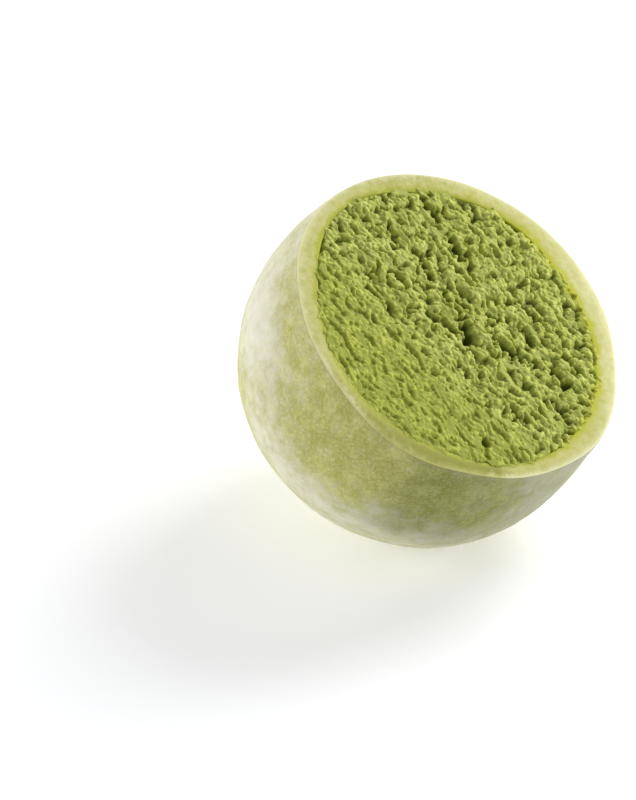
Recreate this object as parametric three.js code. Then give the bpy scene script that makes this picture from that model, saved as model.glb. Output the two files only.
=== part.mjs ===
// A matcha mochi with its top cut off: a ball of craggy green ice cream in a skin of rice dough.
// It lies on its round side, so that the cut leans over, and its soft underside has settled flat.
// Millimetres, +Z up. The origin is on the surface that it rests on, under the middle of the ball.
//
// Each piece is shaped upright first, with the ball's middle at 0 and the cut facing up, and is then
// leaned over and settled. Upright, x is the way that the cut leans down and y runs level across it.

import * as THREE from 'three';

// The ball.
const RADIUS = 23; // at its widest
const DEPTH = 22.6; // from its widest level to its underside
const WALL_HEIGHT = 32.3; // half height of the ellipse that its wall follows above the widest level
const CUT_HEIGHT = 9.15; // of the cut above the widest level
const LEAN = THREE.MathUtils.degToRad(33.3); // of the cut, from level
const HEADING = THREE.MathUtils.degToRad(-30); // of the lean, from +X
const SETTLED = 1.5; // how far the underside has flattened
const SETTLED_BLEND = 0.7; // height over which the flat spot runs into the round side

// The rice dough.
const SKIN = 2.55; // thickness
const CORNER = 0.45; // rounding of the cut's outer edge
const LIP = 0.12; // how far the cut edge bulges past the wall
const LIP_HEIGHT = 1.6; // height of that bulge
const CROWN = 0.16; // rise of the cut dough between its edges
const WAVE = 0.16; // unevenness of the cut dough's level
const CLEARANCE = 0.25; // between the dough and the ice cream

// Unevenness of the dough's outer and inner edge: [waves round the edge, size, direction in degrees].
const OUTER_WAVES = [[1, 0.22, 94], [2, 0.25, 126], [3, 0.12, 154], [4, 0.29, 56], [5, 0.16, -7]];
const INNER_WAVES = [[1, 0.32, -86], [2, 0.13, -5], [3, 0.05, 90], [4, 0.2, 7], [5, 0.22, -151]];
const DENTS = [[2, 0.12, 200], [3, 0.14, 110]]; // of the ball's side, strongest low down

// The ice cream's cut face.
const SWELL = { size: 8, height: 0.35 }; // broad ups and downs
const RIDGE = { long: 4, wide: 2, height: 0.42 }; // ridges that the knife tore along x
const LUMP = { long: 1.9, wide: 1.5, height: 0.9 };
const PIT = { long: 1.9, wide: 1.15, depth: 0.75, patches: 3.6 };
const BEND = { size: 2.6, by: 0.6 }; // how far ridges, lumps and pits wander
const SMEARED = { low: -12, high: -3, left: 0.45 }; // y where the knife smeared the face, and what is left
const LEVEL = 0.1; // of the face's middle, from the cut
const SHED = { width: 0.9, depth: 0.35 }; // rounding of its edge

// The largest holes torn in it: x, y, direction in degrees, length, width, depth.
const HOLES = [
  [1.2, 0.7, -33, 5.4, 2.0, 1.9],
  [-2.9, 2.1, -10, 4.2, 1.5, 1.2],
  [6.3, 3.3, 8, 5.8, 1.5, 1.6],
  [13.2, 6.3, 3, 3.8, 1.6, 1.6],
  [12.6, 9.3, -4, 4.6, 1.2, 1.4],
  [7.2, 7.3, -8, 3.0, 1.2, 1.1],
  [-7.2, 9.3, -14, 4.2, 1.6, 1.5],
  [-13.1, 10.8, -5, 3.6, 1.3, 1.3],
  [-8.2, 3.5, -22, 3.2, 1.2, 1.0],
  [13.2, -3.6, -15, 3.0, 1.3, 1.2],
  [-2.6, -2.0, 15, 3.6, 1.3, 0.9],
  [13.4, -11.0, -50, 3.2, 1.4, 1.0],
];

// Triangle sizes.
const SKIN_EDGE = 1.75; // of what shows of the dough
const FACE_EDGE = 0.585; // of the ice cream's face
const HIDDEN_EDGE = 3.2; // of what lies inside
const INSIDE_ROWS = 14;

// The same number from 0 to 1 for the same three whole numbers.
function random(i, j, salt) {
  let mixed = Math.imul(i, 374761393) ^ Math.imul(j, 668265263) ^ Math.imul(salt, 974634777);
  mixed = Math.imul(mixed ^ (mixed >>> 13), 1274126177);
  return ((mixed ^ (mixed >>> 16)) >>> 0) / 4294967296;
}

// Smooth noise from -1 to 1, with a period of about 2 units.
function noise(x, y, salt) {
  const i = Math.floor(x);
  const j = Math.floor(y);
  const ease = (t) => t * t * (3 - 2 * t);
  const across = ease(x - i);
  const low = THREE.MathUtils.lerp(random(i, j, salt), random(i + 1, j, salt), across);
  const high = THREE.MathUtils.lerp(random(i, j + 1, salt), random(i + 1, j + 1, salt), across);
  return THREE.MathUtils.lerp(low, high, ease(y - j)) * 2 - 1;
}

// Rounded lumps of uneven height, one to a unit square: 0 in the creases between them, up to 1 on top.
function lumps(x, y, salt) {
  const i = Math.floor(x);
  const j = Math.floor(y);
  let top = 0;
  for (let a = i - 1; a <= i + 1; a++) {
    for (let b = j - 1; b <= j + 1; b++) {
      const away = Math.hypot(x - a - random(a, b, salt), y - b - random(a, b, salt + 1));
      const height = 0.4 + 0.6 * random(a, b, salt + 2);
      top = Math.max(top, height * (1 - away * away));
    }
  }
  return top;
}

const waves = (list, angle) => list.reduce(
  (sum, [count, size, way]) => sum + size * Math.cos(count * angle - THREE.MathUtils.degToRad(way)),
  0,
);

// How deep the torn holes are at a point: steep on the upper side, drawn out on the lower one.
function holes(x, y) {
  let depth = 0;
  for (const [atX, atY, way, length, width, deep] of HOLES) {
    const turn = THREE.MathUtils.degToRad(way);
    const along = ((x - atX) * Math.cos(turn) + (y - atY) * Math.sin(turn)) / (length / 2);
    const across = ((y - atY) * Math.cos(turn) - (x - atX) * Math.sin(turn)) / (width / 2);
    const off = Math.hypot(along, across > 0 ? across : across * 0.55);
    depth = Math.max(depth, deep * (1 - THREE.MathUtils.smoothstep(off, 0.1, 1.5)));
  }
  return depth;
}

// Height of the ice cream's face over the cut, where the face reaches out to `edge`.
function relief(x, y, edge) {
  const smoothstep = THREE.MathUtils.smoothstep;
  const torn = smoothstep(y + 2.5 * noise(x / 4, y / 4, 5), SMEARED.low, SMEARED.high);
  const rough = THREE.MathUtils.lerp(SMEARED.left, 1, torn);
  const bentX = x + BEND.by * noise(x / BEND.size, y / BEND.size, 11);
  const bentY = y + BEND.by * noise(x / BEND.size, y / BEND.size, 12);
  const swell = SWELL.height * noise(x / SWELL.size, y / SWELL.size, 21);
  const ridge = RIDGE.height * noise(bentX / RIDGE.long, bentY / RIDGE.wide, 22);
  const lump = LUMP.height * (lumps(bentX / LUMP.long, bentY / LUMP.wide, 31) - 0.5);
  const pit = PIT.depth * smoothstep(noise(bentX / PIT.long, bentY / PIT.wide, 24), 0.12, 0.75)
    * smoothstep(noise(x / PIT.patches, y / PIT.patches, 25), -0.6, 0.3);
  const nearEdge = smoothstep(Math.hypot(x, y), edge - SHED.width, edge);
  const shed = SHED.depth * nearEdge * (0.6 + 0.4 * noise(x / 1.6, y / 1.6, 41));
  const hole = holes(x, y) * (1 - nearEdge);
  return LEVEL + rough * (swell + ridge + lump - pit - hole) - shed;
}

// The ball's side seen from the side, `inset` within its outer face, from below up to the widest
// level and on up to `top`.
function sideOutline(inset, top) {
  return new THREE.Path()
    .absellipse(0, 0, RADIUS - inset, DEPTH - inset, -Math.PI / 2, 0, false)
    .absellipse(0, 0, RADIUS - inset, WALL_HEIGHT, 0, Math.asin(top / WALL_HEIGHT), false);
}

// Leans a point of the upright ball over, and presses it up where it would reach under `floor`.
const lean = new THREE.Matrix4().makeRotationZ(HEADING)
  .multiply(new THREE.Matrix4().makeRotationY(LEAN));
const middleHeight = Math.hypot(RADIUS * Math.sin(LEAN), DEPTH * Math.cos(LEAN)) - SETTLED;
function settle(point, floor) {
  point.applyMatrix4(lean);
  point.z += middleHeight;
  const blend = Math.max(SETTLED_BLEND - Math.abs(point.z - floor), 0) / SETTLED_BLEND;
  point.z = Math.max(point.z, floor) + blend * blend * SETTLED_BLEND / 4;
  return point;
}

// A ring of points round the ball's axis, about `spacing` apart. `place` gives the radius and height
// at an angle.
function ring(radius, spacing, floor, place) {
  const count = Math.max(6, Math.round(2 * Math.PI * radius / spacing));
  return Array.from({ length: count }, (_, k) => {
    const angle = 2 * Math.PI * k / count;
    const [out, up] = place(angle);
    return settle(new THREE.Vector3(out * Math.cos(angle), out * Math.sin(angle), up), floor);
  });
}

// The ring of the ball's side at a point of its outline, with the side's unevenness.
function sideRing(outline, spacing, edgeWaves, floor) {
  const share = outline.x / RADIUS;
  const high = THREE.MathUtils.smoothstep(outline.y, -12, CUT_HEIGHT);
  return ring(outline.x, spacing, floor, (angle) => [
    outline.x + share * share * THREE.MathUtils.lerp(waves(DENTS, angle), waves(edgeWaves, angle), high),
    outline.y,
  ]);
}

// One closed skin over rings that follow each other from the ball's underside round to where the
// surface ends. Two neighbours may have different numbers of points.
function closedOver(rings) {
  const positions = rings.flat().flatMap((point) => point.toArray());
  const faces = [];
  let start = 0;
  for (let r = 0; r + 1 < rings.length; r++) {
    const here = rings[r].length;
    const next = rings[r + 1].length;
    const nextStart = start + here;
    const stepsHere = here > 1 ? here : 0;
    const stepsNext = next > 1 ? next : 0;
    let a = 0;
    let b = 0;
    while (a < stepsHere || b < stepsNext) {
      const corner = start + (a % here);
      const opposite = nextStart + (b % next);
      const ahead = a < stepsHere && (a + 1) / stepsHere <= (b + 1) / stepsNext;
      if (ahead || b === stepsNext) {
        faces.push(corner, start + ((a + 1) % here), opposite);
        a++;
      } else {
        faces.push(corner, nextStart + ((b + 1) % next), opposite);
        b++;
      }
    }
    start = nextStart;
  }
  const geometry = new THREE.BufferGeometry();
  geometry.setAttribute('position', new THREE.Float32BufferAttribute(positions, 3));
  geometry.setIndex(faces);
  geometry.computeVertexNormals();
  return geometry;
}

// The rings of a side from its lowest point up, and that point itself.
function sideRings(outline, rows, spacing, edgeWaves, floor) {
  const points = outline.getSpacedPoints(rows);
  const pole = [settle(new THREE.Vector3(0, 0, points[0].y), floor)];
  return [pole, ...points.slice(1).map((point) => sideRing(point, spacing, edgeWaves, floor))];
}

// The dough's cut edge, as rings from its outer corner to its inner one.
function cutEdgeRings() {
  const outer = RADIUS * Math.sqrt(1 - (CUT_HEIGHT / WALL_HEIGHT) ** 2);
  const inner = outer * (RADIUS - SKIN) / RADIUS;
  const level = (angle) => CUT_HEIGHT + WAVE * noise(2.2 * Math.cos(angle) + 9, 2.2 * Math.sin(angle), 51);
  const rings = [];
  for (const turn of [0.33, 0.67, 1]) {
    const bend = turn * Math.PI / 2;
    rings.push(ring(outer, SKIN_EDGE, 0, (angle) => [
      outer + LIP + waves(OUTER_WAVES, angle) - CORNER * (1 - Math.cos(bend)),
      level(angle) - CORNER * (1 - Math.sin(bend)),
    ]));
  }
  for (const share of [0.35, 0.7, 1]) {
    rings.push(ring(THREE.MathUtils.lerp(outer, inner, share), SKIN_EDGE, 0, (angle) => [
      THREE.MathUtils.lerp(
        outer + LIP + waves(OUTER_WAVES, angle) - CORNER,
        inner + waves(INNER_WAVES, angle),
        share,
      ),
      level(angle) + CROWN * Math.sin(Math.PI * share),
    ]));
  }
  return rings;
}

// The skin: out and up its round side, over the cut edge, and down inside.
function skinGeometry() {
  const rows = Math.round((RADIUS * Math.PI / 2 + CUT_HEIGHT) / SKIN_EDGE);
  const side = sideRings(sideOutline(0, CUT_HEIGHT - LIP_HEIGHT), rows, SKIN_EDGE, OUTER_WAVES, 0);
  const bulge = ring(RADIUS, SKIN_EDGE, 0, (angle) => [
    RADIUS * Math.sqrt(1 - (CUT_HEIGHT / WALL_HEIGHT) ** 2) + LIP + waves(OUTER_WAVES, angle),
    CUT_HEIGHT - CORNER - 0.3 * LIP_HEIGHT,
  ]);
  const inside = sideRings(
    sideOutline(SKIN, CUT_HEIGHT - 2 * CORNER), INSIDE_ROWS, HIDDEN_EDGE, INNER_WAVES, SKIN,
  );
  return closedOver([...side, bulge, ...cutEdgeRings(), ...inside.reverse()]);
}

// The ice cream: up inside the skin, and over the face from its edge to its middle.
function iceCreamGeometry() {
  const inset = SKIN + CLEARANCE;
  const side = sideRings(
    sideOutline(inset, CUT_HEIGHT - 2), INSIDE_ROWS, HIDDEN_EDGE, INNER_WAVES, inset,
  );
  const edge = (RADIUS - inset) * Math.sqrt(1 - (CUT_HEIGHT / WALL_HEIGHT) ** 2);
  const count = Math.round(edge / (FACE_EDGE * 0.87));
  const face = [];
  for (let k = count; k > 0; k--) {
    const share = k / count;
    face.push(ring(share * edge, FACE_EDGE, 0, (angle) => {
      const here = edge + waves(INNER_WAVES, angle);
      const out = share * here;
      return [out, CUT_HEIGHT + relief(out * Math.cos(angle), out * Math.sin(angle), here)];
    }));
  }
  const middle = [settle(new THREE.Vector3(0, 0, CUT_HEIGHT + relief(0, 0, edge)), 0)];
  return closedOver([...side, ...face, middle]);
}

const mochiSkin = new THREE.Mesh(
  skinGeometry(),
  new THREE.MeshStandardMaterial({ color: 0xb9bb85, roughness: 0.85, metalness: 0 }),
);
mochiSkin.name = 'mochi_skin';

const iceCream = new THREE.Mesh(
  iceCreamGeometry(),
  new THREE.MeshStandardMaterial({ color: 0x93a845, roughness: 0.7, metalness: 0 }),
);
iceCream.name = 'ice_cream';

const mochi = new THREE.Group();
mochi.add(mochiSkin, iceCream);

export default mochi;
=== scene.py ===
"""Blender scene for the cut green tea ice cream mochi: a floury skin of rice dough round craggy ice cream.

Lengths are in millimetres up to place(), which turns them into the frame's metres. Each piece is shaped
upright, with the ball's middle at 0 and the cut facing up, then leaned over and settled on the floor. A way
is a direction round the upright ball, in degrees from the side that it leans down to. A salt picks one
pattern of noise out of many.
"""
import math

import bpy
import numpy as np
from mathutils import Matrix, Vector


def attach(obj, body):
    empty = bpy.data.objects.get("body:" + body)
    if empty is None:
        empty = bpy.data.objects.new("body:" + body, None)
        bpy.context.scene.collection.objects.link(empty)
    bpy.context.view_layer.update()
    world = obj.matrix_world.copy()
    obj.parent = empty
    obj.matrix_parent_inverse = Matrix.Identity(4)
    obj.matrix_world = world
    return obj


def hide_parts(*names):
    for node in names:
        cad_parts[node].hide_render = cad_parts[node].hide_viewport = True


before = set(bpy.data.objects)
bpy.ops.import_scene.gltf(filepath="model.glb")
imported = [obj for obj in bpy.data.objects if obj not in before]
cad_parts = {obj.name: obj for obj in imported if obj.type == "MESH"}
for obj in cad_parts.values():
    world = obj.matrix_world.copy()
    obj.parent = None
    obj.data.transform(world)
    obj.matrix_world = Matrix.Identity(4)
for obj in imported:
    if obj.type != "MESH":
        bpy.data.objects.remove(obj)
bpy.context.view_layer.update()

MM = 0.001

# The ball, as in the solids.
RADIUS = 23.0
DEPTH = 22.6  # from its middle to its underside
WALL_HEIGHT = 32.3  # from its middle to where the wall would close if it weren't cut
CUT_HEIGHT = 9.15
LEAN = math.radians(33.3)
HEADING = math.radians(-30)  # which way it leans
SETTLED = 1.5  # how far its own weight has flattened it
SETTLED_BLEND = 0.7  # how soft the flat spot's edge is
SKIN = 2.55

# Waves of the cut edge's two outlines, and dents low down on the side: times round, size, phase in degrees.
OUTER_WAVES = ((1, 0.22, 94), (2, 0.25, 126), (3, 0.12, 154), (4, 0.29, 56), (5, 0.16, -7))
INNER_WAVES = ((1, 0.32, -86), (2, 0.13, -5), (3, 0.05, 90), (4, 0.2, 7), (5, 0.22, -151))
DENTS = ((1, 0.08, -85), (2, 0.13, -109), (3, 0.28, -23))
WAVES_FROM = -12  # height over which the side's dents turn into the cut edge's waves

# The dough's cut edge.
CORNER = 0.36  # rounding of its outer corner
CORNER_WIDER = 0.16  # how much wider the rounding gets
CORNER_WAY = (80, 130)  # where the rounding is widest, and how far round from there it narrows
LIP = 0.06  # how far the edge bulges past the wall
LIP_BULGES = ((8, 40, 0.3), (-28, 26, 0.5), (-117, 26, 0.3), (68, 60, 0.3))  # way, half width, how much more
LIP_HEIGHT = 4.0  # how far down the bulge reaches
CROWN = 0.09  # how much the middle of the edge stands up
LEVEL_WAVE = 0.16  # how far the cut's level goes up and down
LEVEL_LOOP = 2.2  # radius of the loop that it follows through the noise
LEVEL_LOOP_AT = 9  # where along x that loop's middle is
LEVEL_SALT = 51

# Relief of the dough's floury outside, in layers of noise: height, size, salt.
SOFT_DENTS = ((0.10, 9.0, 61), (0.05, 3.6, 62))
PEBBLING = (0.028, 0.95, 65)
CLUMPS = (0.024, 0.6, 66)
CLUMPED = ((1, 5.0, 63), (0.5, 2.0, 64))  # where there are clumps
CLUMPED_FROM = -0.5
CLUMPED_FULL = 0.9
RELIEF_FROM = 0.3  # how far under the cut the relief begins
RELIEF_FULL = 2.8  # and how far under it the relief has its full height

# Flour on the dough: how much lies on it, and the patches with more or less of it, each by its way, height,
# half width in degrees, half height and what it adds.
FLOUR = 0.56
FLOUR_PATCHES = (
    (-141, -1, 21, 6, 0.27), (-98, -8, 26, 4, 0.2), (-82, 3, 34, 8, -0.48), (-45, 4, 26, 6, -0.3),
    (-122, 7, 24, 3.5, -0.3), (-12, 1, 18, 9, 0.05), (150, 4, 40, 7, -0.1), (60, -4, 30, 6, -0.15),
    (-138, -10, 34, 7.5, -0.24), (-66, -1, 9, 2.5, 0.25), (-122, 8.5, 16, 2, 0.1), (-106, 4.5, 7, 2.5, 0.2),
    (-28, 0, 9, 5, -0.12), (54, 10, 42, 3, 0.45),
)
PATCH_FULL = 0.4  # a patch is full up to this share of its half width and height
PATCH_END = 1.5  # and gone at this one

# Painted shade on the dough: its side darker low down towards the front, and its cut edge darker on the near
# side. The cut edge is also darker far round.
SHADED_SIDE = (-30, 54, 22)  # way, and how far round from it the darkness ends and is full
SHADED_SIDE_FROM = -12  # height
SHADED_SIDE_FULL = -2
SHADED_EDGE_WAY = -68
SHADED_EDGE_UP = (44, 24)  # degrees round from there where the darkness ends and is full, on the one side
SHADED_EDGE_DOWN = (-58, 8)  # and on the other
DARK_FAR_EDGE = (152, 40)  # way, half width
DARK_FAR_SHARE = 0.5

# Painted highlight on the cut edge's outer corner, a pale line: way, how far round from it that ends and is
# full, share.
PAINTED_EDGE_HIGHLIGHTS = ((-92, 105, 50, 1), (45, 60, 25, 0.5))

# Painted glow of light shining through the dough from behind, yellow on the cut edge's inner corner: way, how
# far round from it that ends and is full.
PAINTED_GLOW = (48, 85, 25)
GLOW_FROM = 1.3  # how far in from the face's edge the ice cream has the painted glow too
GLOW_FULL = 0.1

# The ice cream's torn face: it is smeared where the blade went in and rough above there, along y.
ROUGH_FROM = -12
ROUGH_FULL = -3
ROUGH_BEND = (2.5, 5, 5)  # layer of noise that bends where one meets the other: height, size, salt
SMEARED = 0.38  # share of the relief that is left where the face is smeared
CRUMBS_SMEARED = 0.6
FACE_LEVEL = 0.1

# Its large holes: x, y, way that it runs, length, width, depth.
HOLES = (
    (1.2, 0.7, -33, 5.4, 2.0, 1.9), (-2.9, 2.1, -10, 4.2, 1.5, 1.2), (4.4, -1.6, -35, 3.0, 1.1, 1.0),
    (6.3, 3.3, 8, 5.8, 1.5, 1.6), (10.4, 4.9, -10, 3.0, 1.1, 0.8), (13.2, 6.3, 3, 3.8, 1.6, 1.6),
    (12.6, 9.3, -4, 4.6, 1.2, 1.4), (7.2, 7.3, -8, 3.0, 1.2, 1.1), (5.4, 10.6, 5, 3.6, 1.1, 0.9),
    (-7.2, 9.3, -14, 4.2, 1.6, 1.5), (-3.2, 7.6, -20, 2.6, 1.1, 1.0), (-13.1, 10.8, -5, 3.6, 1.3, 1.3),
    (-7.0, 13.3, -10, 3.0, 1.0, 0.8), (-8.2, 3.5, -22, 3.2, 1.2, 1.0), (-14.0, 3.2, -30, 2.6, 1.0, 0.9),
    (13.2, -3.6, -15, 3.0, 1.3, 1.2), (-8.6, -1.4, -10, 3.0, 1.1, 0.8), (-2.6, -2.0, 15, 3.6, 1.3, 0.9),
    (-6.5, -6.6, -30, 2.8, 1.1, 0.9), (9.3, 13.3, 6, 3.0, 0.9, 0.8), (16.4, 2.5, -6, 3.2, 1.0, 0.9),
    (13.4, -11.0, -50, 3.2, 1.4, 1.0), (8.0, -15.4, 75, 2.6, 1.2, 0.4),
)
HOLE_LONGER = 1.35
HOLE_NARROWER = 0.72
HOLE_DEEPER = 1.15
HOLE_GENTLE_SIDE = 0.55  # how steep the one long side is, next to the other
HOLE_FLOOR = 0.1  # share of a hole that is flat
HOLE_RAGGED = (0.6, 0.9, 61)  # height, size, salt

# Its furrows and swells, which run along the tear.
TORN_WAY = math.radians(-10)
BEND = (0.3, 2.5, 11)  # height, size, salt
SWELLS = ((3.0, 0.5, 1.8, 20), (1.5, 0.3, 1.3, 21))  # size across, height, how much longer along, salt
PIT_LENGTH = 1.3
PIT_WIDTH = 0.86
PIT_DEPTH = 0.77
PIT_FROM = 0.08
PIT_FULL = 0.47
PIT_SALT = 51
GROOVE_LENGTH = 1.7  # of pits where the face is smeared
GROOVE_SALT = 52
FRAYED = (0.25, 0.45, 71)  # height, size, salt

# Its crumbs, and the grains on them.
CRUMB = 0.5
CRUMB_LONGER = 1.3
CRUMB_HEIGHT = 0.52
CRUMB_SIZES = (0.42, 0.64)  # smallest and largest radius, in shares of CRUMB
CRUMB_SALT = 36
CRUMB_BENDS = ((0.22, 0.9, 13), (0.09, 0.4, 15))  # height, size, salt
GRAIN = 0.36
GRAIN_HEIGHT = 0.1
GRAIN_SIZES = (0.45, 0.75)
GRAIN_SALT = 46
UNEVEN = 0.5  # how much lower some of them are than others
CLOSEST = 0.1  # how near to its square's side the middle of one may be
SPREAD = 0.8  # and how far across the square it may be from there
MERGING = 4  # how sharp the creases between them are
PUFF = 0.035  # how far their tops are swollen over the gaps, times the slope
PUFF_MOST = 1.3  # steepest slope that counts
SLOPE_STEP = 0.03
FLATTEST = 0.001  # least slope to divide by

# Its edge, which laps over the dough.
LAP = 0.3
LAP_RAGGED = 0.5
LAP_RAGS = ((10, 0.9), (24, 0.8), (44, 0.6))  # how many to a radian of the edge, size
LAP_SALT = 81
GAPS = ((201, 9, 0.85), (219, 4, 0.8))  # where the face has come off the dough: way, half width, how far
EDGE_DROP = 0.2  # how far under the cut its rim ends
CALM_EDGE = 1.2  # how far in from the edge the relief gets lower
CALM_SHARE = 0.45  # and by how much
UNPUFFED_EDGE = 0.8
OVERLAP = 0.15  # how far the ice cream's hidden side is inside the dough
HIDDEN_TOP = 2  # how far under the cut the hidden side ends

# Sides of the triangles.
SKIN_EDGE = 0.27
FACE_EDGE = 0.122
HIDDEN_EDGE = 1.6
ROW = 0.87  # rows of even triangles are this share of a side apart
FEWEST_ROUND = 6
OUTLINE_STEPS = 400
CORNER_RINGS = 5
EDGE_RINGS = 11


# ---------------------------------------------------------------- numbers

MIX_I = 374761393  # large odd numbers for random() to mix whole numbers with
MIX_J = 668265263
MIX_SALT = 974634777
MIX_AGAIN = 1274126177
MIX_SHIFTS = (13, 16)
WHOLE_NUMBERS = 2 ** 32
NOISE_GAIN = 1.6  # brings noise to about -1 to 1
LEVELS_APART = (57, 131)  # squares by which noise_3d() moves its pattern from one level to the next


def random(i, j, salt):
    """The same number from 0 to 1 for the same three whole numbers."""
    whole = np.uint32
    with np.errstate(over="ignore"):
        mixed = (np.asarray(i, np.int64).astype(whole) * whole(MIX_I)
                 ^ np.asarray(j, np.int64).astype(whole) * whole(MIX_J)
                 ^ whole(salt * MIX_SALT % WHOLE_NUMBERS))
        mixed = (mixed ^ mixed >> whole(MIX_SHIFTS[0])) * whole(MIX_AGAIN)
        return (mixed ^ mixed >> whole(MIX_SHIFTS[1])).astype(float) / WHOLE_NUMBERS


def lerp(a, b, share):
    return a + (b - a) * share


def smoothstep(value, low, high):
    share = np.clip((value - low) / (high - low), 0, 1)
    return share * share * (3 - 2 * share)


def ease(share):
    return share * share * share * (share * (share * 6 - 15) + 10)


def noise(x, y, salt):
    """Smooth noise from about -1 to 1."""
    i, j = np.floor(x).astype(np.int64), np.floor(y).astype(np.int64)
    in_x, in_y = x - i, y - j

    def corner_slope(a, b):
        way = 2 * math.pi * random(i + a, j + b, salt)
        return np.cos(way) * (in_x - a) + np.sin(way) * (in_y - b)

    across, along = ease(in_x), ease(in_y)
    near_row = lerp(corner_slope(0, 0), corner_slope(1, 0), across)
    far_row = lerp(corner_slope(0, 1), corner_slope(1, 1), across)
    return NOISE_GAIN * lerp(near_row, far_row, along)


def noise_layer(x, y, height, size, salt):
    """Noise of that height, with features of that size."""
    return height * noise(x / size, y / size, salt)


def bent(x, y, *layers):
    """x and y moved about by layers of noise, with the next salt of each for y."""
    bent_x, bent_y = x, y
    for height, size, salt in layers:
        bent_x = bent_x + noise_layer(x, y, height, size, salt)
        bent_y = bent_y + noise_layer(x, y, height, size, salt + 1)
    return bent_x, bent_y


def noise_3d(points, size, salt):
    """Smooth noise from about -1 to 1 in space, with features of `size`, for points in rows."""
    scaled = points / size
    cell = np.floor(scaled).astype(np.int64)
    inside = scaled - cell
    total = np.zeros(len(points))
    for a, b, c in np.ndindex(2, 2, 2):
        level = cell[:, 2] + c
        i = cell[:, 0] + a + LEVELS_APART[0] * level
        j = cell[:, 1] + b + LEVELS_APART[1] * level
        up = 2 * random(i, j, salt) - 1
        way = 2 * math.pi * random(i, j, salt + 1)
        flat = np.sqrt(1 - up * up)
        off = inside - (a, b, c)
        slope = off[:, 0] * flat * np.cos(way) + off[:, 1] * flat * np.sin(way) + off[:, 2] * up
        total += slope * np.prod(1 - ease(np.abs(off)), axis=1)
    return NOISE_GAIN * total


def layers_3d(points, *layers):
    """Sum of layers of noise in space, each by its height, size and salt."""
    return sum(height * noise_3d(points, size, salt) for height, size, salt in layers)


def granules(x, y, salt, smallest, largest):
    """Round grains, one to a unit square: the height of the highest one, 0 in the gaps between them."""
    i, j = np.floor(x).astype(np.int64), np.floor(y).astype(np.int64)
    top = np.zeros_like(x)
    for a in (i - 1, i, i + 1):
        for b in (j - 1, j, j + 1):
            across = x - a - CLOSEST - SPREAD * random(a, b, salt)
            along = y - b - CLOSEST - SPREAD * random(a, b, salt + 1)
            radius = lerp(smallest, largest, random(a, b, salt + 2))
            inside = radius * radius - across * across - along * along
            height = np.sqrt(np.maximum(inside, 0)) - UNEVEN * random(a, b, salt + 3) * (inside > 0)
            top += np.maximum(height, 0) ** MERGING
    return top ** (1 / MERGING)


def waves(parts, angle):
    return sum(size * np.cos(times * angle - math.radians(phase)) for times, size, phase in parts)


def turn_from(angle, way):
    """Degrees round the ball from the direction `way`, from -180 to 180."""
    return (np.degrees(angle) - way + 180) % 360 - 180


def near(angle, way, end, full=0):
    """1 up to `full` degrees to either side of the direction `way`, falling off smoothly to 0 at `end`."""
    return smoothstep(np.abs(turn_from(angle, way)), end, full)


def angle_of(points):
    return np.arctan2(points[:, 1], points[:, 0])


# ---------------------------------------------------------------- meshes

MIDDLE_HEIGHT = math.hypot(RADIUS * math.sin(LEAN), DEPTH * math.cos(LEAN)) - SETTLED


def place(points, floor):
    """Leans upright points over, settles them on `floor`, and turns them into metres."""
    x = points[:, 0] * math.cos(LEAN) + points[:, 2] * math.sin(LEAN)
    z = points[:, 2] * math.cos(LEAN) - points[:, 0] * math.sin(LEAN) + MIDDLE_HEIGHT
    y = points[:, 1]
    blend = np.maximum(SETTLED_BLEND - np.abs(z - floor), 0) / SETTLED_BLEND
    z = np.maximum(z, floor) + blend * blend * SETTLED_BLEND / 4
    turn_cos, turn_sin = math.cos(HEADING), math.sin(HEADING)
    return np.stack([x * turn_cos - y * turn_sin, x * turn_sin + y * turn_cos, z], 1) * MM


def zip_faces(count, next_count, start, next_start):
    """Triangles between two rings of any numbers of points."""
    steps = count if count > 1 else 0
    next_steps = next_count if next_count > 1 else 0
    keys = np.concatenate([(np.arange(steps) + 1) / count, (np.arange(next_steps) + 1) / next_count])
    on_this = np.concatenate([np.ones(steps, bool), np.zeros(next_steps, bool)])
    on_this = on_this[np.argsort(keys, kind="stable")]
    a = np.cumsum(on_this) - on_this
    b = np.cumsum(~on_this) - ~on_this
    corner_here, opposite = start + a % count, next_start + b % next_count
    third = np.where(on_this, start + (a + 1) % count, next_start + (b + 1) % next_count)
    return np.stack([corner_here, third, opposite], 1)


def new_object(name, data):
    """An object in the scene that shows `data`."""
    thing = bpy.data.objects.new(name, data)
    bpy.context.scene.collection.objects.link(thing)
    return thing


def closed_mesh(name, rings, floors, attributes):
    """A closed skin over rings of upright points, from the underside round to where it ends."""
    faces = []
    start = 0
    for ring, next_ring in zip(rings, rings[1:]):
        next_start = start + len(ring)
        faces.append(zip_faces(len(ring), len(next_ring), start, next_start))
        start = next_start
    points = np.concatenate([place(ring, floor) for ring, floor in zip(rings, floors)])
    faces = np.concatenate(faces)
    mesh = bpy.data.meshes.new(name)
    mesh.vertices.add(len(points))
    mesh.vertices.foreach_set("co", points.astype(np.float32).ravel())
    mesh.loops.add(faces.size)
    mesh.loops.foreach_set("vertex_index", faces.astype(np.int32).ravel())
    mesh.polygons.add(len(faces))
    mesh.polygons.foreach_set("loop_start", np.arange(0, faces.size, 3, dtype=np.int32))
    mesh.polygons.foreach_set("use_smooth", np.ones(len(faces), bool))
    for key, values in attributes.items():
        layer = mesh.attributes.new(key, "FLOAT", "POINT")
        layer.data.foreach_set("value", np.concatenate(values).astype(np.float32))
    mesh.update(calc_edges=True)
    mesh.validate()
    return new_object(name, mesh), faces


def circle(radius, spacing):
    count = max(FEWEST_ROUND, round(2 * math.pi * radius / spacing))
    return 2 * math.pi * np.arange(count) / count


def upright(angle, out, up):
    return np.stack([out * np.cos(angle), out * np.sin(angle), up + np.zeros_like(angle)], 1)


# ---------------------------------------------------------------- the ball's side and cut edge

OUTER = RADIUS * math.sqrt(1 - (CUT_HEIGHT / WALL_HEIGHT) ** 2)
INNER = OUTER * (RADIUS - SKIN) / RADIUS


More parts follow.
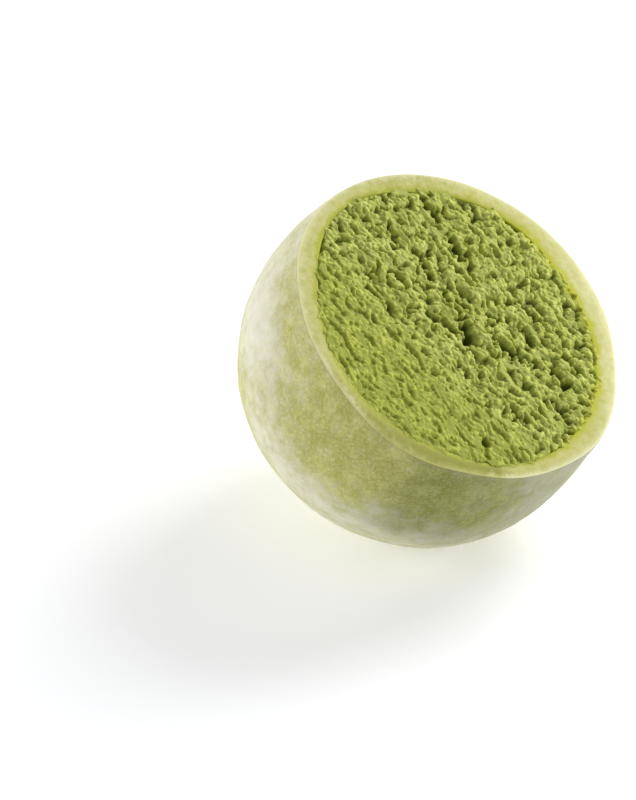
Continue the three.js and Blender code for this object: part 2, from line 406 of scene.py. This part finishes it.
def side_outline(inset, top, rows):
    """Points of the ball's side seen from the side, evenly spaced from its underside up to `top`."""
    below = np.linspace(-math.pi / 2, 0, OUTLINE_STEPS)
    above = np.linspace(0, math.asin(top / WALL_HEIGHT), OUTLINE_STEPS)[1:]
    out = (RADIUS - inset) * np.concatenate([np.cos(below), np.cos(above)])
    up = np.concatenate([(DEPTH - inset) * np.sin(below), WALL_HEIGHT * np.sin(above)])
    run = np.concatenate([[0], np.cumsum(np.hypot(np.diff(out), np.diff(up)))])
    at = np.linspace(0, run[-1], rows + 1)
    return np.interp(at, run, out), np.interp(at, run, up)


def side_waves(angle, radius, height, edge_waves):
    """How far the side stands out: dented low down, and like its cut edge near the top."""
    share = radius / RADIUS
    high = smoothstep(height, WAVES_FROM, CUT_HEIGHT)
    return share * share * lerp(waves(DENTS, angle), waves(edge_waves, angle), high)


def side_rings(inset, top, spacing, edge_waves):
    length = (RADIUS - inset) * math.pi / 2 + top
    radii, heights = side_outline(inset, top, round(length / (spacing * ROW)))
    rings = [np.array([[0.0, 0.0, heights[0]]])]
    for radius, height in zip(radii[1:], heights[1:]):
        angle = circle(radius, spacing)
        rings.append(upright(angle, radius + side_waves(angle, radius, height, edge_waves), height))
    return rings


def wall_radius(height):
    return RADIUS * np.sqrt(1 - (height / WALL_HEIGHT) ** 2)


def cut_level(angle):
    loop_x = LEVEL_LOOP * np.cos(angle) + LEVEL_LOOP_AT
    return CUT_HEIGHT + LEVEL_WAVE * noise(loop_x, LEVEL_LOOP * np.sin(angle), LEVEL_SALT)


def lip(angle):
    """How far the cut edge bulges past the wall."""
    return LIP + sum(more * near(angle, way, wide) for way, wide, more in LIP_BULGES)


def corner(angle):
    """Rounding of the cut's outer corner."""
    return CORNER + CORNER_WIDER * near(angle, *CORNER_WAY)


def wall_top(angle):
    """Radius and height at which the wall ends and the cut's outer corner begins."""
    height = cut_level(angle) - corner(angle)
    return wall_radius(height) + lip(angle) + waves(OUTER_WAVES, angle), height


def cut_edge(share, angle):
    """Radius and height on the dough's cut edge, from its outer corner (0) to its inner one (1)."""
    out = lerp(wall_top(angle)[0] - corner(angle), INNER + waves(INNER_WAVES, angle), share)
    return out, cut_level(angle) + CROWN * np.sin(math.pi * share)


# ---------------------------------------------------------------- the skin of dough

def powdery(points):
    """How far the dough's floury outside stands proud: soft dents, pebbling and clumps of starch."""
    clumped = smoothstep(layers_3d(points, *CLUMPED), CLUMPED_FROM, CLUMPED_FULL)
    clumps = np.maximum(layers_3d(points, CLUMPS), 0) * clumped
    return layers_3d(points, *SOFT_DENTS) + (layers_3d(points, PEBBLING) + clumps)


def flour_cover(points):
    """Share of the dough that flour hides."""
    cover = np.full(len(points), FLOUR)
    for way, height, wide, high, more in FLOUR_PATCHES:
        off = np.hypot(turn_from(angle_of(points), way) / wide, (points[:, 2] - height) / high)
        cover += more * smoothstep(off, PATCH_END, PATCH_FULL)
    return cover


# Painted shade: the dough's side darker low down towards the front.
def painted_side_shade(points):
    return near(angle_of(points), *SHADED_SIDE) * smoothstep(points[:, 2], SHADED_SIDE_FROM, SHADED_SIDE_FULL)


def painted_edge_shade(points):
    """Painted shade on the cut edge's near side, ending short on the one side and fading out on the other,
    and the edge darker far round.
    """
    off = turn_from(angle_of(points), SHADED_EDGE_WAY)
    below = smoothstep(off, *SHADED_EDGE_UP) * smoothstep(off, *SHADED_EDGE_DOWN)
    return below + DARK_FAR_SHARE * near(angle_of(points), *DARK_FAR_EDGE)


# Painted highlight along the cut edge's outer corner.
def painted_edge_highlight(points):
    angle = angle_of(points)
    return sum(most * near(angle, way, end, full) for way, end, full, most in PAINTED_EDGE_HIGHLIGHTS)


# Painted glow where light shines through the dough from behind, near the cut edge's inner corner.
def painted_glow(points):
    return near(angle_of(points), *PAINTED_GLOW)


def outside_rings():
    """Rings up the dough's outside to where the cut's corner begins, smooth."""
    top = CUT_HEIGHT - LIP_HEIGHT
    rings = side_rings(0, top, SKIN_EDGE, OUTER_WAVES)
    angle = circle(RADIUS, SKIN_EDGE)
    for share in np.linspace(0, 1, round(LIP_HEIGHT / SKIN_EDGE))[1:]:
        height = lerp(top, wall_top(angle)[1], share)
        wall = wall_radius(height)
        wall += lerp(side_waves(angle, wall, height, OUTER_WAVES), waves(OUTER_WAVES, angle), share)
        rings.append(upright(angle, wall + lip(angle) * smoothstep(share, 0, 1), height))
    return rings


def rim_rings():
    """Rings round the cut's outer corner and over its edge, and how far across the edge each one is."""
    angle = circle(OUTER, SKIN_EDGE)
    rings = []
    bends = np.linspace(0, 1, CORNER_RINGS + 1)[1:]
    for bend in bends:
        turn = bend * math.pi / 2
        out, height = wall_top(angle)
        out = out - corner(angle) * (1 - math.cos(turn))
        rings.append(upright(angle, out, height + corner(angle) * math.sin(turn)))
    shares = np.linspace(0, 1, EDGE_RINGS + 1)[1:]
    rings += [upright(angle, *cut_edge(share, angle)) for share in shares]
    return rings, np.concatenate([bends - 1, shares])


def floured(ring):
    """The ring with the relief of the floury outside, which ends short of the cut."""
    out = ring / np.linalg.norm(ring, axis=1, keepdims=True)
    share = smoothstep(CUT_HEIGHT - ring[:, 2], RELIEF_FROM, RELIEF_FULL)
    return ring + out * (powdery(ring) * share)[:, None]


def make_skin():
    outside = outside_rings()
    rim, rim_across = rim_rings()
    inside = side_rings(SKIN, CUT_HEIGHT - 2 * CORNER, HIDDEN_EDGE, INNER_WAVES)[::-1]
    outside_across = [-1 - (CUT_HEIGHT - ring[0, 2]) for ring in outside]
    across = [*outside_across, *rim_across, *np.ones(len(inside))]
    outside = [floured(ring) for ring in outside]
    rings = outside + rim + inside
    measures = {"flour": flour_cover, "painted_shade": painted_side_shade, "edge_shade": painted_edge_shade,
                "painted_highlight": painted_edge_highlight, "painted_glow": painted_glow}
    attributes = {name: [measure(ring) for ring in rings] for name, measure in measures.items()}
    attributes["across"] = [np.full(len(ring), at) for ring, at in zip(rings, across)]
    floors = [0.0] * (len(outside) + len(rim)) + [SKIN] * len(inside)
    piece, faces = closed_mesh("rice_dough_skin", rings, floors, attributes)
    cut_start = sum(len(ring) for ring in rings[:len(outside) + 1])
    piece.data.polygons.foreach_set("material_index", (faces.min(1) >= cut_start).astype(np.int32))
    return piece


# ---------------------------------------------------------------- the ice cream

def holes(x, y, ragged):
    depth = np.zeros_like(x)
    for hole_x, hole_y, way, length, width, deep in HOLES:
        way_cos, way_sin = math.cos(math.radians(way)), math.sin(math.radians(way))
        along = ((x - hole_x) * way_cos + (y - hole_y) * way_sin) / (HOLE_LONGER * length / 2)
        across = ((y - hole_y) * way_cos - (x - hole_x) * way_sin) / (HOLE_NARROWER * width / 2)
        off = np.hypot(along, np.where(across > 0, across, across * HOLE_GENTLE_SIDE)) + ragged
        depth = np.maximum(depth, HOLE_DEEPER * deep * (1 - smoothstep(off, HOLE_FLOOR, 1.0)))
    return depth


def torn_rough(x, y):
    """How rough the face is, from 0 where the blade has smeared it to 1 where it tore."""
    return smoothstep(y + noise_layer(x, y, *ROUGH_BEND), ROUGH_FROM, ROUGH_FULL)


def crumbs(x, y):
    """Height of the face's crumbs, 0 in the gaps between them."""
    loose_x, loose_y = bent(x, y, *CRUMB_BENDS)
    crumb_x, crumb_y = loose_x / (CRUMB_LONGER * CRUMB), loose_y / CRUMB
    height = CRUMB_HEIGHT * granules(crumb_x, crumb_y, CRUMB_SALT, *CRUMB_SIZES)
    return height + GRAIN_HEIGHT * granules(loose_x / GRAIN, loose_y / GRAIN, GRAIN_SALT, *GRAIN_SIZES)


def torn(x, y, edge):
    """Height of the torn face over the cut, where the face reaches out to `edge`."""
    rough = torn_rough(x, y)
    bent_x, bent_y = bent(x, y, BEND)
    turn_cos, turn_sin = math.cos(TORN_WAY), math.sin(TORN_WAY)
    along, across = bent_x * turn_cos + bent_y * turn_sin, bent_y * turn_cos - bent_x * turn_sin
    height = sum(swell * noise(along / (size * longer), across / size, salt)
                 for size, swell, longer, salt in SWELLS)
    frayed = noise_layer(x, y, *FRAYED)
    pits = noise(along / PIT_LENGTH, across / PIT_WIDTH, PIT_SALT)
    grooves = noise(along / GROOVE_LENGTH, across / PIT_WIDTH, GROOVE_SALT)
    height -= PIT_DEPTH * smoothstep(lerp(grooves, pits, rough) + frayed, PIT_FROM, PIT_FULL)
    near_edge = smoothstep(np.hypot(x, y), edge - CALM_EDGE, edge)
    height -= holes(x, y, noise_layer(x, y, *HOLE_RAGGED) + frayed) * (1 - near_edge)
    height = lerp(SMEARED, 1, rough) * height + lerp(CRUMBS_SMEARED, 1, rough) * crumbs(x, y) + FACE_LEVEL
    return height * (1 - CALM_SHARE * near_edge)


def puffed(x, y, edge):
    """The torn face's points, with its crumbs swollen sideways to broad tops and narrow gaps."""
    height = torn(x, y, edge)
    slope_x = (torn(x + SLOPE_STEP, y, edge) - height) / SLOPE_STEP
    slope_y = (torn(x, y + SLOPE_STEP, edge) - height) / SLOPE_STEP
    slope = np.hypot(slope_x, slope_y)
    push = PUFF * np.minimum(slope, PUFF_MOST) / np.maximum(slope, FLATTEST)
    push = push * (1 - smoothstep(np.hypot(x, y), edge - UNPUFFED_EDGE, edge))
    return x - push * slope_x, y - push * slope_y, height


def face_edge(angle):
    """How far out the torn face reaches, and how far it has come off the dough there."""
    ragged = LAP_RAGGED * sum(size * noise(angle * times, angle * 0 + times, LAP_SALT)
                              for times, size in LAP_RAGS)
    gap = sum(far * near(angle, way, wide) for way, wide, far in GAPS)
    return INNER + waves(INNER_WAVES, angle) + LAP + ragged - gap, gap


def make_ice_cream():
    inset = SKIN - OVERLAP
    rings = side_rings(inset, CUT_HEIGHT - HIDDEN_TOP, HIDDEN_EDGE, INNER_WAVES)
    floors = [inset] * len(rings)
    names = ("relief", "rough", "crumb", "painted_glow")
    attributes = {name: [np.zeros(len(ring)) for ring in rings] for name in names}
    count = round(INNER / (FACE_EDGE * ROW))
    for step in range(count, -1, -1):
        share = step / count
        angle = circle(share * INNER, FACE_EDGE) if step else np.zeros(1)
        edge, gap = face_edge(angle)
        x, y = share * edge * np.cos(angle), share * edge * np.sin(angle)
        attributes["rough"].append(torn_rough(x, y))
        attributes["crumb"].append(crumbs(x, y))
        # The painted glow reaches into the face near its edge.
        rim = smoothstep(np.hypot(x, y), edge - GLOW_FROM, edge - GLOW_FULL)
        attributes["painted_glow"].append(painted_glow(np.stack([x, y], 1)) * rim)
        x, y, height = puffed(x, y, edge)
        attributes["relief"].append(height)
        if step == count:
            height = -EDGE_DROP - gap
        rings.append(np.stack([x, y, CUT_HEIGHT + height], 1))
        floors.append(0.0)
    piece, _ = closed_mesh("torn_ice_cream", rings, floors, attributes)
    return piece


# ---------------------------------------------------------------- materials

def srgb(r, g, b):
    """Linear colour of an sRGB colour out of 255."""
    def linear(part):
        part /= 255
        return part / 12.92 if part <= 0.04045 else ((part + 0.055) / 1.055) ** 2.4
    return linear(r), linear(g), linear(b), 1.0


class Nodes:
    """Builds a material's node tree, each node by its type, inputs and settings."""

    def __init__(self, name):
        self.material = bpy.data.materials.new(name)
        self.material.use_nodes = True
        self.tree = self.material.node_tree
        self.tree.nodes.clear()
        self.where = self.add("TexCoord").outputs["Object"]

    def give(self, socket, value):
        """Links another node's output to the socket, or sets it to a plain value."""
        if isinstance(value, bpy.types.NodeSocket):
            self.tree.links.new(value, socket)
        else:
            socket.default_value = value

    def add(self, kind, inputs=None, **settings):
        node = self.tree.nodes.new("ShaderNode" + kind)
        for key, value in settings.items():
            setattr(node, key, value)
        for key, value in (inputs or {}).items():
            self.give(node.inputs[key], value)
        return node

    def attribute(self, name):
        """A value that each point of the mesh has."""
        return self.add("Attribute", attribute_name=name).outputs["Fac"]

    def noise(self, size, detail, rough=0.55):
        """Noise with features of about that size in millimetres, about 0.5 on average."""
        inputs = {"Vector": self.where, "Scale": 1 / (size * MM), "Detail": detail, "Roughness": rough}
        return self.add("TexNoise", inputs).outputs["Fac"]

    def math(self, operation, a, b):
        return self.add("Math", {0: a, 1: b}, operation=operation).outputs[0]

    def uneven(self, value, *layers):
        """The value with layers of noise added, each by its size in millimetres, detail and height."""
        for size, detail, height in layers:
            off = self.math("SUBTRACT", self.noise(size, detail, rough=0.6), 0.5)
            value = self.math("ADD", value, self.math("MULTIPLY", off, height))
        return value

    def steps(self, value, low, high, most=1.0):
        """0 at `low`, rising smoothly to `most` at `high`."""
        inputs = {"Value": value, "From Min": low, "From Max": high, "To Min": 0.0, "To Max": most}
        return self.add("MapRange", inputs, interpolation_type="SMOOTHSTEP").outputs["Result"]

    def mix(self, share, a, b, blend="MIX"):
        node = self.add("Mix", data_type="RGBA", blend_type=blend)
        colours = [socket for socket in node.inputs if socket.type == "RGBA"]
        self.give(node.inputs[0], share)
        self.give(colours[0], a)
        self.give(colours[1], b)
        return [socket for socket in node.outputs if socket.type == "RGBA"][0]

    def bump(self, height, distance, strength, after=None):
        """A normal that looks as if `height` stood out by that distance in millimetres."""
        inputs = {"Height": height, "Distance": distance * MM, "Strength": strength}
        if after is not None:
            inputs["Normal"] = after
        return self.add("Bump", inputs).outputs["Normal"]

    def finish(self, **inputs):
        named = {key.replace("_", " ").title().replace("Ior", "IOR"): value for key, value in inputs.items()}
        surface = self.add("BsdfPrincipled", named)
        out = self.add("OutputMaterial")
        self.tree.links.new(surface.outputs[0], out.inputs["Surface"])
        return self.material


def dough_side(n):
    """Colour of the dough's outside with the flour on it, and how much flour there is."""
    cover = n.uneven(n.attribute("flour"), (4.0, 2.0, 0.6), (1.5, 3.0, 0.8), (0.5, 2.0, 0.4))
    dust = n.steps(cover, low=0.0, high=1.15, most=0.95)
    blotches = n.steps(n.noise(size=2.6, detail=3, rough=0.6), low=0.35, high=0.65)
    green_specks = n.steps(n.noise(size=0.5, detail=2, rough=0.7), low=0.36, high=0.74, most=0.62)
    pale_specks = n.steps(n.noise(size=0.36, detail=1, rough=0.7), low=0.5, high=0.74, most=0.5)
    dough = n.mix(blotches, srgb(177, 177, 95), srgb(201, 199, 123))
    dough = n.mix(green_specks, dough, srgb(150, 151, 74))
    dough = n.mix(pale_specks, dough, srgb(216, 213, 164))
    colour = n.mix(dust, dough, srgb(232, 228, 215))
    # Painted shade: the side darker low down towards the front.
    painted_shade = n.steps(n.uneven(n.attribute("painted_shade"), (3.0, 3.0, 0.6)), low=0.1, high=1.1)
    shade_tone = (0.61, 0.63, 0.62, 1.0)
    return n.mix(painted_shade, colour, shade_tone, "MULTIPLY"), dust


def floury_dough():
    n = Nodes("floury_dough")
    colour, dust = dough_side(n)
    normal = n.bump(dust, distance=0.05, strength=0.5)
    normal = n.bump(n.noise(size=0.35, detail=2), distance=0.03, strength=0.6, after=normal)
    return n.finish(base_color=colour, roughness=0.9, normal=normal, subsurface_weight=0.3,
                    subsurface_radius=(1.0, 0.95, 0.4), subsurface_scale=1.0 * MM, specular_ior_level=0.2,
                    sheen_weight=0.08, sheen_roughness=0.4)


def cut_dough():
    n = Nodes("cut_dough")
    rough_across = n.uneven(n.attribute("across"), (1.6, 3.0, 0.8), (0.5, 2.0, 0.3))
    # Painted shade on the cut edge's near side, and the edge darker far round.
    painted_shade = n.uneven(n.attribute("edge_shade"), (1.6, 3.0, 0.8), (0.5, 2.0, 0.4))
    painted_shade = n.steps(painted_shade, low=0.15, high=1.0, most=0.95)
    outer = n.mix(painted_shade, srgb(218, 217, 176), srgb(184, 184, 114))
    highlit_outer = n.mix(painted_shade, srgb(243, 241, 190), srgb(202, 202, 124))
    # Painted highlight: the outer corner paler where light catches it.
    outer = n.mix(n.attribute("painted_highlight"), outer, highlit_outer)
    blotches = n.steps(n.noise(size=0.9, detail=3), low=0.4, high=0.66)
    middle = n.mix(blotches, srgb(206, 204, 130), srgb(196, 196, 106))
    middle = n.mix(painted_shade, middle, srgb(154, 156, 54))
    inner = n.mix(painted_shade, srgb(197, 197, 90), srgb(158, 160, 50))
    colour = n.mix(n.steps(rough_across, low=-0.4, high=0.4), outer, middle)
    colour = n.mix(n.steps(rough_across, low=0.4, high=0.8, most=0.7), colour, inner)
    dust = n.uneven(n.attribute("flour"), (1.5, 3.0, 0.6), (0.5, 2.0, 0.4))
    colour = n.mix(n.steps(dust, low=0.7, high=1.3, most=0.7), colour, srgb(236, 234, 182))
    # Painted glow: the inner corner's line yellower where light shines through from behind.
    glow = n.attribute("painted_glow")
    line = n.mix(glow, srgb(174, 180, 46), srgb(200, 202, 40))
    line_across = n.math("ADD", rough_across, n.math("MULTIPLY", glow, 0.07))
    colour = n.mix(n.steps(line_across, low=0.62, high=0.92, most=0.95), colour, line)
    side, _ = dough_side(n)
    colour = n.mix(n.steps(rough_across, low=-1.0, high=-0.5), side, colour)
    normal = n.bump(n.noise(size=0.9, detail=3), distance=0.07, strength=0.5)
    return n.finish(base_color=colour, roughness=0.6, normal=normal, subsurface_weight=0.5,
                    subsurface_radius=(1.0, 0.95, 0.35), subsurface_scale=1.5 * MM, specular_ior_level=0.3,
                    sheen_weight=0.2, sheen_roughness=0.4)


def torn_ice_cream():
    n = Nodes("torn_ice_cream")
    height = n.attribute("relief")
    crumb = n.attribute("crumb")
    blotches = n.steps(n.noise(size=2.2, detail=3, rough=0.6), low=0.35, high=0.68)
    grain = n.noise(size=0.45, detail=2, rough=0.6)
    smeared = n.mix(blotches, srgb(178, 187, 73), srgb(197, 204, 88))
    torn_open = n.mix(blotches, srgb(194, 202, 97), srgb(213, 220, 119))
    colour = n.mix(n.attribute("rough"), smeared, torn_open)
    pale_grains = n.steps(grain, low=0.5, high=0.8, most=0.3)
    pale_grains = n.math("MULTIPLY", pale_grains, n.steps(crumb, low=0.05, high=0.2))
    colour = n.mix(pale_grains, colour, srgb(210, 214, 120))
    # Painted highlight: the crumbs paler the higher they stand.
    colour = n.mix(n.steps(height, low=0.3, high=1.0, most=0.35), colour, srgb(212, 216, 145))
    # Painted glow at the face's edge, where light shines through the dough from behind.
    colour = n.mix(n.math("MULTIPLY", n.attribute("painted_glow"), 0.65), colour, srgb(200, 198, 44))
    # Painted shade in the gaps between the crumbs.
    colour = n.mix(n.steps(crumb, low=0.24, high=0.0, most=0.44), colour, srgb(114, 131, 24))
    # Painted shade in the pits and holes, darker the deeper they are.
    colour = n.mix(n.steps(height, low=0.1, high=-1.0, most=0.8), colour, srgb(80, 92, 25))
    normal = n.bump(grain, distance=0.06, strength=0.25)
    normal = n.bump(n.noise(size=0.2, detail=2, rough=0.7), distance=0.05, strength=0.25, after=normal)
    return n.finish(base_color=colour, roughness=0.55, normal=normal, subsurface_weight=0.35,
                    subsurface_radius=(1.0, 1.0, 0.35), subsurface_scale=0.5 * MM, specular_ior_level=0.2)


def floor_paper():
    n = Nodes("floor_paper")
    normal = n.bump(n.noise(size=1.5, detail=3), distance=0.02, strength=0.2)
    return n.finish(base_color=(0.93, 0.94, 0.965, 1), roughness=0.8, normal=normal,
                    emission_color=(1, 1, 1, 1), emission_strength=0.3)


# ---------------------------------------------------------------- pieces

skin = make_skin()
skin.data.materials.append(floury_dough())
skin.data.materials.append(cut_dough())
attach(skin, "root")
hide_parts("mochi_skin")

ice = make_ice_cream()
ice.data.materials.append(torn_ice_cream())
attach(ice, "root")
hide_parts("ice_cream")


# ---------------------------------------------------------------- floor

FLOOR = 4  # metres from the middle to each side

floor_corners = [(-FLOOR, -FLOOR, 0), (FLOOR, -FLOOR, 0), (FLOOR, FLOOR, 0), (-FLOOR, FLOOR, 0)]
floor_mesh = bpy.data.meshes.new("floor")
floor_mesh.from_pydata(floor_corners, [], [(0, 1, 2, 3)])
floor_mesh.materials.append(floor_paper())
floor = new_object("floor", floor_mesh)


# ---------------------------------------------------------------- light

LIGHT_DISTANCE = 0.5  # metres
WORLD_LIGHT = 0.33

ball_middle = Vector((0, 0, MIDDLE_HEIGHT * MM))


def light(name, way, size, power):
    """A soft square light that faces the ball from the direction `way`."""
    data = bpy.data.lights.new(name, "AREA")
    data.shape = "SQUARE"
    data.size = size
    data.energy = power
    lamp = new_object(name, data)
    way = Vector(way).normalized()
    lamp.location = ball_middle + way * LIGHT_DISTANCE
    lamp.rotation_euler = (-way).to_track_quat("-Z", "Y").to_euler()


light("key", way=(0.54, 0.54, 0.64), size=0.3, power=1.8)
light("left", way=(-0.98, 0.0, 0.21), size=0.25, power=1.17)
light("back_left", way=(-0.69, 0.69, 0.21), size=0.25, power=0.42)
light("right", way=(0.98, 0.0, 0.21), size=0.25, power=0.55)

world = bpy.data.worlds.new("studio")
bpy.context.scene.world = world
world.use_nodes = True
background = world.node_tree.nodes["Background"]
background.inputs["Color"].default_value = (1, 1, 1, 1)
background.inputs["Strength"].default_value = WORLD_LIGHT
bpy.context.scene.view_settings.view_transform = "Standard"


# ---------------------------------------------------------------- camera

ELEVATION = math.radians(35.48)
TURN = math.radians(2.09)
LENS = 400.0
SENSOR = 36.0  # along the picture's longer side
CLIP_NEAR = 0.01
CLIP_FAR = 10
PICTURE = (636, 800)
BALL_AT = (422.32, 361.47)  # the ball's middle in the picture
BALL_PIXELS = 185.33  # its radius there

pixels_per_mm = PICTURE[1] / SENSOR
camera_distance = LENS * pixels_per_mm * RADIUS / BALL_PIXELS
off_right = (BALL_AT[0] - PICTURE[0] / 2) / (LENS * pixels_per_mm)
off_up = (PICTURE[1] / 2 - BALL_AT[1]) / (LENS * pixels_per_mm)
toward = Vector((-math.cos(ELEVATION) * math.sin(TURN),
                 math.cos(ELEVATION) * math.cos(TURN),
                 -math.sin(ELEVATION)))
right = Vector((math.cos(TURN), math.sin(TURN), 0))
up = right.cross(toward)

camera_data = bpy.data.cameras.new("camera")
camera_data.lens = LENS
camera_data.sensor_width = SENSOR
camera_data.sensor_fit = "AUTO"
camera_data.clip_start = CLIP_NEAR
camera_data.clip_end = CLIP_FAR
camera = new_object("camera", camera_data)
camera.location = ball_middle - toward * camera_distance * MM
camera.rotation_euler = (toward - right * off_right - up * off_up).to_track_quat("-Z", "Y").to_euler()
bpy.context.scene.camera = camera
